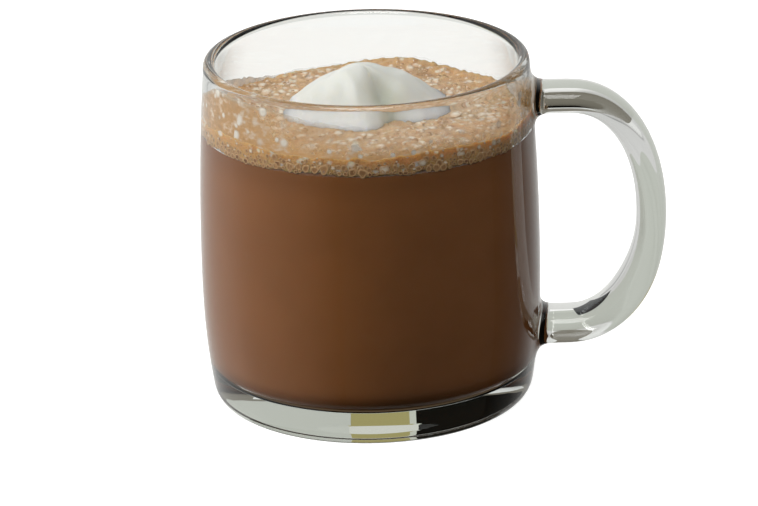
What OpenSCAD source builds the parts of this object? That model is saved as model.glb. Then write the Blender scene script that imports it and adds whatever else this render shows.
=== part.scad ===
// Hot chocolate in a clear glass mug, topped with milk foam and a dollop of whipped cream.
// The origin is on the mug's axis at the table, +Z is up and the handle points along +X.

/* [Mug] */
// Height of the mug, from the table to the top of the lip
mug_height = 92; // [76:1:120]
// Outer radius just under the rounded lip
lip_radius = 42; // [36:0.5:50]
// Outer radius of the belly at its widest
belly_radius = 44.1; // [37:0.1:54]
// Height of the widest part of the belly
belly_height = 38; // [30:1:50]
// Outer radius where the wall turns into the heel
foot_radius = 41.9; // [35:0.1:50]
// Radius of the rounded heel
heel_round = 5; // [2:0.5:8]
// Thickness of the glass wall, and of the full-round lip
wall = 3.1; // [2.4:0.1:4.5]
// Thickness of the solid glass base
base_thickness = 8.5; // [4:0.5:14]
// Fillet radius inside, between the wall and the base
floor_round = 7; // [3:0.5:10]

/* [Handle] */
// Drop of the upper bar's mid-line below the lip
handle_drop = 12; // [10:0.5:18]
// Height of the lower bar's mid-line above the table
handle_low = 17.6; // [14:0.1:24]
// Height of the place where the grip stands furthest out
grip_height = 48; // [36:1:56]
// Clear gap between the belly and the inside of the grip
finger_gap = 25.1; // [20:0.1:34]
// Length of each bar, from the belly's radius to the start of its bend
bar_length = 8; // [4:0.5:12]
// Width of the handle, side to side
grip_width = 15; // [12:0.5:18]
// Thickness of the upper bar and the grip
grip_thickness = 7.8; // [6:0.1:10]
// Thickness of the lower bend and the lower bar
bend_thickness = 9.3; // [7:0.1:11]
// Fillet radius where each bar meets the wall
root_fillet = 3; // [1.5:0.1:4]

/* [Drink] */
// Depth of the foam's top below the lip
foam_drop = 14.2; // [10:0.1:24]
// Thickness of the foam layer at the wall
foam_thickness = 4.2; // [2.5:0.1:10]
// Height that the foam climbs the wall on the side away from the handle
foam_climb = 3; // [0:0.1:5]
// Height of the ripples round the foam's edge
foam_ripple = 0.8; // [0:0.1:1.5]

/* [Cream] */
// Mean radius of the dollop on the foam
cream_radius = 20; // [14:0.5:26]
// Height of the dollop's peak above the foam
cream_height = 12.7; // [8:0.1:18]
// Reach of the lobes round the dollop's outline
cream_lobe = 2; // [0:0.1:3]
// Depth of the notch in the outline, front right
cream_notch = 5; // [0:0.1:7]
// Depth of the fold that runs down from the peak to the notch
cream_fold = 2.2; // [0:0.1:3]
// Depth that the middle of the dollop has sunk into the foam
cream_sink = 2; // [0.5:0.1:3]

/* [Hidden] */
$fn = 96;

// The wall's bow: a parabola above the belly, a slightly squarer curve below it
upper_power = 2;
lower_power = 2.5;
lip_z = mug_height - wall / 2;
lower_span = belly_height - heel_round;
foot_drop = belly_radius - foot_radius;
lip_drop = belly_radius - lip_radius;

// Levels inside the mug
foam_z = mug_height - foam_drop;
liquid_z = foam_z - foam_thickness;

// Steps in each stretch of the outline
wall_steps = 14;
round_steps = 10;

// The handle's loop: the bars' mid-lines, the bends' start and the grip's furthest mid-line
upper_bar_z = mug_height - handle_drop;
bend_x = belly_radius + bar_length;
grip_x = belly_radius + finger_gap + grip_thickness / 2;
upper_bend_power = 2.15;
lower_bend_power = 2;
oval_power = 2.25;
loop_steps = 28;
oval_steps = 24;
// Shares of the root fillet's radius at which it has a ring, from the wall outwards
fillet_rings = [0.03, 0.1, 0.25, 0.5, 1];

// Rings and spokes of the foam's and the cream's surfaces
spokes = 96;
dish_rings = 4;
foam_rings = 5;
cream_rings = 11;
// Where the foam climbs the wall, and where the cream has its notch and its ridge
climb_angle = 152;
notch_angle = 313;
ridge_angle = 255;

// ---- Glass wall ----

// Outer radius of the wall at height z
function outer_r(z) = z > belly_height
    ? belly_radius - lip_drop * pow((z - belly_height) / (lip_z - belly_height), upper_power)
    : belly_radius - foot_drop * pow((belly_height - z) / lower_span, lower_power);

// Radius of the cavity at height z, above its rounded bottom corner
function cavity_r(z) = outer_r(z) - wall;

// Lean of the wall from upright at height z below the belly, in degrees
function lean(z) = atan(lower_power * foot_drop / lower_span
    * pow(max(belly_height - z, 0) / lower_span, lower_power - 1));

// Points of a round from angle a0 to angle a1
function round_points(cx, cz, r, a0, a1) = [
    for (i = [0 : round_steps])
        let (a = a0 + (a1 - a0) * i / round_steps)
            [cx + r * cos(a), cz + r * sin(a)]
];

// Points up the outside of the wall, and up the inside
function outer_points(z0, z1) = [
    for (i = [1 : wall_steps])
        let (z = z0 + (z1 - z0) * i / wall_steps)
            [outer_r(z), z]
];
function cavity_points(z0, z1) = [
    for (i = [1 : wall_steps])
        let (z = z0 + (z1 - z0) * i / wall_steps)
            [cavity_r(z), z]
];

// The heel, from the flat underside round to the wall
heel_lean = lean(heel_round);
heel_x = foot_radius - heel_round * cos(heel_lean);
heel_points = round_points(heel_x, heel_round, heel_round, -90, -heel_lean);
heel_top = heel_round * (1 - sin(heel_lean));

// The cavity's bottom corner, from the flat floor round to the wall
corner_z = base_thickness + floor_round;
corner_lean = lean(corner_z);
corner_top = corner_z - floor_round * sin(corner_lean);
corner_x = cavity_r(corner_top) - floor_round * cos(corner_lean);
corner_points = round_points(corner_x, corner_z, floor_round, -90, -corner_lean);

// The lip, from the outside of the wall over to the inside
lip_points = round_points(lip_radius - wall / 2, lip_z, wall / 2, 0, 180);

// Half section of the glass, and of what fills it up to the foam
fill_wall = cavity_points(corner_top, liquid_z);
rim_wall = [for (p = cavity_points(liquid_z, lip_z)) if (p[1] < lip_z) p];
glass_section = concat(
    [[0, 0]], heel_points, outer_points(heel_top, lip_z), lip_points,
    reverse(rim_wall), reverse(fill_wall), reverse(corner_points), [[0, base_thickness]]
);
fill_section = concat([[0, base_thickness]], corner_points, fill_wall, [[0, liquid_z]]);

function reverse(list) = [for (i = [len(list) - 1 : -1 : 0]) list[i]];

// ---- Handle ----

function signed_power(v, p) = sign(v) * pow(abs(v), p);

// Point i of an oval with half width a (across) and half thickness b (outwards)
function oval(a, b, i) =
    let (t = 360 * i / oval_steps)
        [a * signed_power(cos(t), 2 / oval_power), b * signed_power(sin(t), 2 / oval_power)];

// Half thickness of the handle at loop angle t: 90 at the upper bar, -90 at the lower one
function half_thickness(t) =
    let (s = min(max((-t - 5) / 40, 0), 1))
        (grip_thickness + (bend_thickness - grip_thickness) * s * s * (3 - 2 * s)) / 2;

// Mid-line of the loop at angle t, as [x, z], and the direction away from the loop's middle
function loop_mid(t) =
    let (p = t > 0 ? upper_bend_power : lower_bend_power,
         rise = t > 0 ? upper_bar_z - grip_height : grip_height - handle_low)
        [bend_x + (grip_x - bend_x) * pow(abs(cos(t)), 2 / p),
         grip_height + rise * signed_power(sin(t), 2 / p)];
function loop_out(t) =
    let (a = loop_mid(min(t + 1, 90)), b = loop_mid(max(t - 1, -90)), d = a - b)
        [-d[1], d[0]] / -norm(d);

// A ring of the loop at angle t
function loop_ring(t) =
    let (m = loop_mid(t), n = abs(t) > 89.9 ? [0, sign(t)] : loop_out(t))
        [for (i = [0 : oval_steps - 1])
            let (q = oval(grip_width / 2, half_thickness(t), i))
                [m[0] + n[0] * q[1], q[0], m[1] + n[1] * q[1]]];

// A ring of a root, a distance off the wall and swollen by the fillet: up is 1 or -1
function root_ring(z, up, half, off, swell) = [
    for (i = [0 : oval_steps - 1])
        let (q = oval(grip_width / 2 + swell, half + swell, i), h = z + up * q[1])
            [sqrt(pow(outer_r(h), 2) - q[0] * q[0]) + off, q[0], h]
];
function fillet_swell(share) = root_fillet * (1 - sqrt(1 - pow(1 - share, 2)));

// A root's rings, from inside the wall outwards
root_depth = 0.4 * wall;
function root_rings(z, up, half) = concat(
    [root_ring(z, up, half, -root_depth, fillet_swell(fillet_rings[0]))],
    [for (f = fillet_rings) root_ring(z, up, half, root_fillet * f, fillet_swell(f))]
);

handle_rings = concat(
    root_rings(upper_bar_z, 1, grip_thickness / 2),
    [for (i = [0 : loop_steps]) loop_ring(90 - 180 * i / loop_steps)],
    reverse(root_rings(handle_low, -1, bend_thickness / 2))
);
handle_ends = [
    [outer_r(upper_bar_z) - root_depth, 0, upper_bar_z],
    [outer_r(handle_low) - root_depth, 0, handle_low]
];

module handle() {
    n = oval_steps;
    last = len(handle_rings) - 1;
    first_end = n * (last + 1);
    polyhedron(
        points = concat([for (r = handle_rings) each r], handle_ends),
        faces = concat(
            [for (k = [0 : last - 1], i = [0 : n - 1])
                let (j = (i + 1) % n)
                    each [[k * n + i, (k + 1) * n + i, k * n + j],
                          [k * n + j, (k + 1) * n + i, (k + 1) * n + j]]],
            [for (i = [0 : n - 1]) [i, (i + 1) % n, first_end]],
            [for (i = [0 : n - 1]) [last * n + (i + 1) % n, last * n + i, first_end + 1]]
        ),
        convexity = 6
    );
}

// ---- Foam and cream ----

function bump(angle, middle, spread) =
    let (d = (angle - middle + 540) % 360 - 180)
        exp(-pow(d / spread, 2));

// Height of the foam's surface at radius r: ripples and a climb that grow towards the wall
function foam_surface(r, a) =
    let (share = min(r / cavity_r(foam_z), 1))
        foam_z
        + foam_ripple * share * share * (0.6 * sin(5 * a + 65) + 0.4 * sin(8 * a - 166))
        + foam_climb * pow(share, 8) * bump(a, climb_angle, 18);

// Radius of the cream's outline
function cream_r(a) = cream_radius
    + cream_lobe * (0.6 * cos(2 * (a - 5)) + 0.4 * cos(5 * (a - 197)))
    - cream_notch * bump(a, notch_angle, 22);

// Height of the cream's round-topped cone at a share of its radius, from 1 at the peak to 0
peak_round = 0.22;
function cone(share) =
    1 - (sqrt(share * share + peak_round * peak_round) - peak_round)
        / (sqrt(1 + peak_round * peak_round) - peak_round);

// Underside of the cream, which is the dish it has pressed into the foam
function dish_point(share, a) =
    let (r = share * cream_r(a))
        [r * cos(a), r * sin(a), foam_surface(r, a) - cream_sink * (1 - share * share)];

// Top of the cream, with a fold and a ridge that fade out at the peak and at the edge
function cream_point(share, a) =
    let (r = share * cream_r(a),
         fade = 4 * share * (1 - share),
         relief = 0.35 * cream_fold * bump(a, ridge_angle, 16) - cream_fold * bump(a, notch_angle - 8, 24))
        [r * cos(a), r * sin(a), foam_surface(r, a) + cream_height * cone(share) + fade * relief];

// Foam from the cream's edge to the wall
function foam_point(share, a) =
    let (edge = cream_r(a),
         outer = cavity_r(foam_surface(cavity_r(foam_z), a)),
         r = edge + (outer - edge) * share)
        [r * cos(a), r * sin(a), foam_surface(r, a)];

function spoke(i) = 360 * i / spokes;
dish = [for (k = [1 : dish_rings]) [for (i = [0 : spokes - 1]) dish_point(k / dish_rings, spoke(i))]];
foam_top = [for (k = [1 : foam_rings]) [for (i = [0 : spokes - 1]) foam_point(k / foam_rings, spoke(i))]];
foam_bottom = [
    for (i = [0 : spokes - 1])
        [cavity_r(liquid_z) * cos(spoke(i)), cavity_r(liquid_z) * sin(spoke(i)), liquid_z]
];
cream_top = [
    for (k = [cream_rings - 1 : -1 : 1])
        [for (i = [0 : spokes - 1]) cream_point(k / cream_rings, spoke(i))]
];

// A closed skin through rings of points: a point at each end, one ring after another between
module skin(first, rings, final) {
    n = spokes;
    last = len(rings) - 1;
    polyhedron(
        points = concat([first, final], [for (r = rings) each r]),
        faces = concat(
            [for (i = [0 : n - 1]) [0, 2 + i, 2 + (i + 1) % n]],
            [for (k = [0 : last - 1], i = [0 : n - 1])
                let (j = (i + 1) % n, a = 2 + k * n, b = a + n)
                    each [[a + i, b + i, a + j], [a + j, b + i, b + j]]],
            [for (i = [0 : n - 1]) [1, 2 + last * n + (i + 1) % n, 2 + last * n + i]]
        ),
        convexity = 4
    );
}

// ---- Nodes ----

module mug() {
    color([0.86, 0.9, 0.88, 0.45])
    union() {
        rotate_extrude()
            polygon(glass_section);
        handle();
    }
}

module chocolate() {
    color([0.42, 0.25, 0.15])
    rotate_extrude()
        polygon(fill_section);
}

module foam() {
    color([0.76, 0.6, 0.45])
    skin(dish_point(0, 0), concat(dish, foam_top, [foam_bottom]), [0, 0, liquid_z]);
}

module cream() {
    color([0.89, 0.9, 0.86])
    skin(dish_point(0, 0), concat(dish, cream_top), cream_point(0, 0));
}

mug();
chocolate();
foam();
cream();
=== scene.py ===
"""Looks of a clear glass mug of hot chocolate, topped with milk foam and whipped cream."""

import logging
import math
import random
from dataclasses import dataclass, field
from enum import Enum
from typing import Callable, Iterable, Sequence

import bmesh
import bpy
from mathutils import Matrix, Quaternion, Vector, noise


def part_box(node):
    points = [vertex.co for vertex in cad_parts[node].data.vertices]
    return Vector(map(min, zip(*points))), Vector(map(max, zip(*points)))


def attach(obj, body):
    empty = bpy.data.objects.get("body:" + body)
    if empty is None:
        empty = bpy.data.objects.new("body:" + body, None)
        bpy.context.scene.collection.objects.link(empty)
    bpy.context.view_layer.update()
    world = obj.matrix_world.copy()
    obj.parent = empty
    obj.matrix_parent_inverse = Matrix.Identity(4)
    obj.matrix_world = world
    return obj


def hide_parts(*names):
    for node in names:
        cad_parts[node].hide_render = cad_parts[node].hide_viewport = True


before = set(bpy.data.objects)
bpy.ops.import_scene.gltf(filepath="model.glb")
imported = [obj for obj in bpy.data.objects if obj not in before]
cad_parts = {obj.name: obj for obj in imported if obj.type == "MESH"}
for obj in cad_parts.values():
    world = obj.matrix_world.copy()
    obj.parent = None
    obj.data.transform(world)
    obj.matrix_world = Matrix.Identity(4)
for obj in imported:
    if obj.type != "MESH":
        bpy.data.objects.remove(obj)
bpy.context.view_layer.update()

MM = 0.001
BODY = "root"
LOG = logging.getLogger("hot_chocolate")

# Attributes of a piece's points that the finishes read
RIM = "rim"
TONE = "tone"

Piece = bpy.types.Object
Socket = bpy.types.NodeSocket
Pair = tuple[float, float]
Outline = list[Pair]
Glow = Sequence[Pair]
Colour = tuple[float, float, float]
# Height, middle angle and spread of a bump round the axis
Lobe = tuple[float, float, float]
Test = Callable[[Vector], bool]


class Slot(Enum):
    """The record's material slots."""

    GLASS = "glass"
    CHOCOLATE = "chocolate"
    FOAM = "foam"
    CREAM = "cream"


# ---- Modelling, ring by ring ----


def deselect_all() -> None:
    """Leaves no object selected, so that an operator acts on the new piece alone."""
    bpy.ops.object.select_all(action="DESELECT")


def pick(piece: Piece) -> None:
    """Selects one piece alone and makes it the active one.

    Args:
        piece: The piece.
    """
    deselect_all()
    piece.select_set(True)
    bpy.context.view_layer.objects.active = piece


def active_piece(name: str) -> Piece:
    """Names the object that was just added, and applies its place to its mesh.

    Args:
        name: The piece's name.

    Returns:
        The object, at the origin, unturned and unscaled.
    """
    piece = bpy.context.active_object
    piece.name = name
    piece.data.name = name
    bpy.ops.object.transform_apply(location=True, rotation=True, scale=True)
    return piece


def edit(piece: Piece) -> None:
    """Opens one piece in edit mode, with all of it selected.

    Args:
        piece: The piece.
    """
    pick(piece)
    bpy.ops.object.mode_set(mode="EDIT")
    bpy.ops.mesh.select_mode(type="VERT")
    bpy.ops.mesh.select_all(action="SELECT")


def done() -> None:
    """Goes back to object mode."""
    bpy.ops.object.mode_set(mode="OBJECT")


def select_points(piece: Piece, test: Test) -> None:
    """Selects the points of the piece in edit mode that pass a test of their place.

    Args:
        piece: The piece that is open in edit mode.
        test: Says whether a point is wanted.
    """
    bpy.ops.mesh.select_all(action="DESELECT")
    shape = bmesh.from_edit_mesh(piece.data)
    for point in shape.verts:
        point.select = test(point.co)
    shape.select_flush(True)
    bmesh.update_edit_mesh(piece.data)


def select_faces(piece: Piece, test: Test) -> None:
    """Selects the faces of the piece in edit mode whose middle passes a test.

    Args:
        piece: The piece that is open in edit mode.
        test: Says whether a face is wanted, from its middle.
    """
    bpy.ops.mesh.select_all(action="DESELECT")
    bpy.ops.mesh.select_mode(type="FACE")
    shape = bmesh.from_edit_mesh(piece.data)
    for face in shape.faces:
        face.select = test(face.calc_center_median())
    bmesh.update_edit_mesh(piece.data)


def turned_piece(name: str, sides: int, outline: Outline) -> Piece:
    """Models a round body: a circle that is extruded and resized from ring to ring.

    Args:
        name: The piece's name.
        sides: Points in each ring.
        outline: Radius and height of each ring, in order.

    Returns:
        The open shell, in edit mode, with its last ring selected.
    """
    deselect_all()
    radius, height = outline[0]
    bpy.ops.mesh.primitive_circle_add(vertices=sides, radius=radius, location=(0, 0, height))
    edit(active_piece(name))
    for next_radius, next_height in outline[1:]:
        rise = (0.0, 0.0, next_height - height)
        bpy.ops.mesh.extrude_region_move(TRANSFORM_OT_translate={"value": rise})
        share = next_radius / radius
        bpy.ops.transform.resize(
            value=(share, share, 1.0), center_override=(0.0, 0.0, next_height)
        )
        radius, height = next_radius, next_height
    return bpy.context.active_object


def close_with_pole() -> None:
    """Closes the selected small ring by drawing it together to a point."""
    bpy.ops.mesh.extrude_region_move()
    bpy.ops.mesh.merge(type="CENTER")


def cap_ring(piece: Piece, test: Test) -> None:
    """Fills a ring of points with faces that meet in one point."""
    select_points(piece, test)
    close_with_pole()


def face_outwards() -> None:
    """Makes all normals of the piece in edit mode point out, its doubles merged first."""
    bpy.ops.mesh.select_all(action="SELECT")
    bpy.ops.mesh.remove_doubles(threshold=0.001 * MM)
    bpy.ops.mesh.normals_make_consistent(inside=False)


def subdivide(piece: Piece) -> None:
    """Rounds a piece off with an applied Subdivision Surface.

    Args:
        piece: The piece, in object mode.
    """
    pick(piece)
    rounded = piece.modifiers.new("rounded", "SUBSURF")
    rounded.levels = SUBDIVISIONS
    rounded.render_levels = SUBDIVISIONS
    bpy.ops.object.modifier_apply(modifier=rounded.name)


def close_up(piece: Piece, first_ring: Test) -> None:
    """Closes a turned shell at its last ring and its first one, and rounds it off.

    Args:
        piece: The shell in edit mode, with its last ring selected.
        first_ring: Says whether a point is one of the first ring's.
    """
    close_with_pole()
    cap_ring(piece, first_ring)
    face_outwards()
    done()
    subdivide(piece)


def smooth(piece: Piece) -> None:
    """Shades the whole piece smooth."""
    pick(piece)
    bpy.ops.object.shade_smooth()


def arc(centre: Pair, radius: float, start: float, end: float, steps: int) -> Outline:
    """Points of a round in an outline.

    Args:
        centre: Radius and height of the round's middle.
        radius: The round's radius, for the surface after subdivision.
        start: First angle in degrees, 0 outwards and 90 up.
        end: Last angle in degrees.
        steps: Steps from the first angle to the last.

    Returns:
        The points, pushed out by what subdivision draws in.
    """
    turn = math.radians(end - start) / steps
    reach = radius * 6.0 / (4.0 + 2.0 * math.cos(turn))
    angles = [math.radians(start) + turn * i for i in range(steps + 1)]
    return [(centre[0] + reach * math.cos(a), centre[1] + reach * math.sin(a)) for a in angles]


def signed_power(value: float, power: float) -> float:
    """A power that keeps the sign of its base."""
    return math.copysign(abs(value) ** power, value)


def off_axis(spot: Vector) -> float:
    """How far a point is from the mug's axis."""
    return math.hypot(spot.x, spot.y)


def azimuth(spot: Vector) -> float:
    """A point's angle round the mug's axis, in degrees."""
    return math.degrees(math.atan2(spot.y, spot.x))


def polar(radius: float, angle: float, z: float) -> Vector:
    """The point at a radius, an angle in degrees and a height."""
    turn = math.radians(angle)
    return Vector((radius * math.cos(turn), radius * math.sin(turn), z))


def hill(spot: Vector, middle: Pair, spread: Pair) -> float:
    """A smooth hill on the level, 1 at its middle, with a spread along x and along y."""
    x, y = (spot.x - middle[0]) / spread[0], (spot.y - middle[1]) / spread[1]
    return math.exp(-x * x - y * y)


def bump(angle: float, middle: float, spread: float) -> float:
    """A smooth bump round the axis, 1 at its middle; all angles in degrees."""
    gap = (angle - middle + 540.0) % 360.0 - 180.0
    return math.exp(-((gap / spread) ** 2))


def move_points(piece: Piece, rule: Callable[[Vector], Vector]) -> None:
    """Moves every point of a piece.

    Args:
        piece: The piece, in object mode.
        rule: Gives a point's new place from its old one.
    """
    for point in piece.data.vertices:
        point.co = rule(point.co)
    piece.data.update()


def mark_points(piece: Piece, name: str, rule: Callable[[Vector], float]) -> None:
    """Writes a number for every point of a piece into one of its attributes.

    Args:
        piece: The piece, in object mode.
        name: The attribute, RIM or TONE.
        rule: Gives the number from the point's place.
    """
    layer = piece.data.attributes.new(name, "FLOAT", "POINT")
    for entry, point in zip(layer.data, piece.data.vertices):
        entry.value = rule(point.co)


def dress(piece: Piece, *materials: bpy.types.Material) -> None:
    """Gives a piece its materials, the first one on all its faces.

    Args:
        piece: The piece.
        materials: The materials.
    """
    piece.data.materials.clear()
    for material in materials:
        piece.data.materials.append(material)


def lobes(angle: float, *bumps: Lobe) -> float:
    """The sum of some bumps round the axis, at an angle in degrees."""
    return sum(height * bump(angle, middle, spread) for height, middle, spread in bumps)


def show_as(piece: Piece, nodes: Sequence[str] = ()) -> Piece:
    """Ties a finished piece to the frame.

    Args:
        piece: The piece.
        nodes: The CAD nodes that it stands for.

    Returns:
        The piece.
    """
    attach(piece, BODY)
    if nodes:
        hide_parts(*nodes)
    LOG.info("%s: %d faces", piece.name, len(piece.data.polygons))
    return piece


# ---- Shape of the glass ----


@dataclass(frozen=True)
class GlassForm:
    """The mug's section: a bowed wall with a full-round lip on a thick base."""

    height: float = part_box("mug")[1].z
    belly_radius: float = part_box("mug")[1].y
    lip_radius: float = 42.0 * MM
    belly_height: float = 38.0 * MM
    foot_radius: float = 41.9 * MM
    heel_round: float = 5.0 * MM
    wall: float = 3.1 * MM
    base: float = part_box("chocolate")[0].z
    floor_round: float = 7.0 * MM
    upper_power: float = 2.0
    lower_power: float = 2.5

    @property
    def lip_z(self) -> float:
        """Height of the lip round's middle."""
        return self.height - self.wall / 2

    @property
    def lower_span(self) -> float:
        """Height of the stretch from the heel to the belly."""
        return self.belly_height - self.heel_round

    def outer(self, z: float) -> float:
        """Outer radius of the wall.

        Args:
            z: Height of the place.

        Returns:
            The radius.
        """
        if z > self.belly_height:
            share = (z - self.belly_height) / (self.lip_z - self.belly_height)
            return self.belly_radius - (self.belly_radius - self.lip_radius) * share**self.upper_power
        share = (self.belly_height - z) / self.lower_span
        return self.belly_radius - (self.belly_radius - self.foot_radius) * share**self.lower_power

    def cavity(self, z: float) -> float:
        """Inner radius of the wall at height z, above the bottom corner."""
        return self.outer(z) - self.wall

    def lean(self, z: float) -> float:
        """Lean of the wall below the belly.

        Args:
            z: Height of the place.

        Returns:
            The lean from upright in degrees.
        """
        share = max(self.belly_height - z, 0.0) / self.lower_span
        slope = self.lower_power * (self.belly_radius - self.foot_radius) / self.lower_span
        return math.degrees(math.atan(slope * share ** (self.lower_power - 1)))

    def corner(self) -> tuple[float, float, float]:
        """The round between the floor and the wall.

        Returns:
            Radius and height of its middle, and the wall's lean where it ends.
        """
        z = self.base + self.floor_round
        lean = self.lean(z)
        top = z - self.floor_round * math.sin(math.radians(lean))
        return self.cavity(top) - self.floor_round * math.cos(math.radians(lean)), z, lean


FORM = GlassForm()
SUBDIVISIONS = 2
# Points in each ring of the mug and the drink, and the radius of the rings that close to a point
SIDES = 72
POLE = 2.0 * MM


def ring_swell(points: int) -> float:
    """How much wider a ring of so many points is made, because subdivision draws it in."""
    return 6.0 / (4.0 + 2.0 * math.cos(2.0 * math.pi / points))


RING_SWELL = ring_swell(SIDES)


def swollen(outline: Outline) -> Outline:
    """The outline with its radii pushed out by what subdivision draws in."""
    return [(r * RING_SWELL, z) for r, z in outline]


def span(start: float, end: float, steps: int) -> list[float]:
    """Evenly spaced values after start, up to end."""
    return [start + (end - start) * i / steps for i in range(1, steps + 1)]


@dataclass(frozen=True)
class HandleForm:
    """The loop that the handle follows, and its oval section."""

    drop: float = 12.0 * MM
    low: float = 17.6 * MM
    grip_height: float = 48.0 * MM
    bar_length: float = 8.0 * MM
    width: float = 15.0 * MM
    grip_thickness: float = 7.8 * MM
    bend_thickness: float = 9.3 * MM
    upper_power: float = 2.15
    lower_power: float = 2.0
    oval_power: float = 2.25
    swell_from: float = 5.0
    swell_over: float = 40.0
    points: int = 20
    steps: int = 26

    @property
    def upper_z(self) -> float:
        """Height of the upper bar's mid-line."""
        return FORM.height - self.drop

    def half(self, angle: float) -> float:
        """Half thickness of the handle.

        Args:
            angle: The loop angle, 90 degrees at the upper bar and -90 at the lower.

        Returns:
            The half thickness, which grows below the grip.
        """
        share = min(max((-angle - self.swell_from) / self.swell_over, 0.0), 1.0)
        ease = share * share * (3.0 - 2.0 * share)
        return (self.grip_thickness + (self.bend_thickness - self.grip_thickness) * ease) / 2

    def middle(self, angle: float) -> Vector:
        """The mid-line's point at a loop angle.

        Args:
            angle: The loop angle in degrees.

        Returns:
            The point.
        """
        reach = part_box("mug")[1].x - self.grip_thickness / 2
        start = FORM.belly_radius + self.bar_length
        upper = angle > 0
        power = self.upper_power if upper else self.lower_power
        rise = self.upper_z - self.grip_height if upper else self.grip_height - self.low
        a = math.radians(angle)
        x = start + (reach - start) * abs(math.cos(a)) ** (2 / power)
        return Vector((x, 0.0, self.grip_height + rise * signed_power(math.sin(a), 2 / power)))

    def tilt(self, angle: float) -> float:
        """Turn of the section about +Y at a loop angle.

        Args:
            angle: The loop angle in degrees.

        Returns:
            The turn in radians, 0 at the upper bar.
        """
        if abs(angle) > 89.9:
            return 0.0 if angle > 0 else math.pi
        step = self.middle(angle - 1.0) - self.middle(angle + 1.0)
        return math.atan2(-step.z, step.x) % (2 * math.pi)


# ---- Shape of the foam and the cream, as their CAD nodes have it ----


@dataclass(frozen=True)
class TopForm:
    """The uneven surface of the foam, and the cream's outline and peak on it."""

    foam_z: float = FORM.height - 14.2 * MM
    liquid_z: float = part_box("foam")[0].z
    ripple: float = 0.8 * MM
    dip: float = 1.5 * MM
    dip_angle: float = 130.0
    dip_spread: float = 22.0
    cream_radius: float = 20.0 * MM
    cream_height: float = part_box("cream")[1].z - foam_z
    lobe: float = 2.0 * MM
    notch: float = 5.0 * MM
    notch_angle: float = 313.0
    notch_spread: float = 22.0
    # Shares of the slow and the fast wave in the ripple and in the lobes
    waves: Pair = (0.6, 0.4)
    sink: float = 2.0 * MM
    peak_round: float = 0.22

    def foam(self, radius: float, angle: float) -> float:
        """Height of the foam's surface.

        Args:
            radius: The place's distance from the axis.
            angle: Its angle in degrees.

        Returns:
            The height.
        """
        share = min(radius / FORM.cavity(self.foam_z), 1.0)
        five = math.sin(math.radians(5 * angle + 65))
        eight = math.sin(math.radians(8 * angle - 166))
        wave = self.ripple * share * share * (self.waves[0] * five + self.waves[1] * eight)
        dip = self.dip * share**8 * bump(angle, self.dip_angle, self.dip_spread)
        return self.foam_z + wave - dip

    def cream_edge(self, angle: float) -> float:
        """Radius of the cream's outline.

        Args:
            angle: The place's angle in degrees.

        Returns:
            The radius.
        """
        two = math.cos(math.radians(2 * (angle - 5)))
        five = math.cos(math.radians(5 * (angle - 197)))
        lobes = self.lobe * (self.waves[0] * two + self.waves[1] * five)
        notch = self.notch * bump(angle, self.notch_angle, self.notch_spread)
        return self.cream_radius + lobes - notch

    def cone(self, share: float) -> float:
        """Height of the round-topped cone at a share of its radius, from 1 at the peak to 0."""
        p = self.peak_round
        return 1 - (math.hypot(share, p) - p) / (math.hypot(1.0, p) - p)


TOP = TopForm()


# ---- Materials ----


@dataclass(frozen=True)
class Fade:
    """A smooth step: the result goes from start to end as a value goes from low to high."""

    low: float
    high: float
    start: float = 0.0
    end: float = 1.0


@dataclass(frozen=True)
class Mottle:
    """Soft blotches: a noise pattern with so many features per metre, and a step of it."""

    scale: float
    detail: float
    fade: Fade
    rough: float = 0.5


@dataclass(frozen=True)
class RoundSpots:
    """Round spots in some cells of a pattern.

    A spot covers its cell up to a share core of its reach, and kept is the share of cells with one.
    """

    scale: float
    reach: float
    core: float
    kept: float
    cover: float


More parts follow.
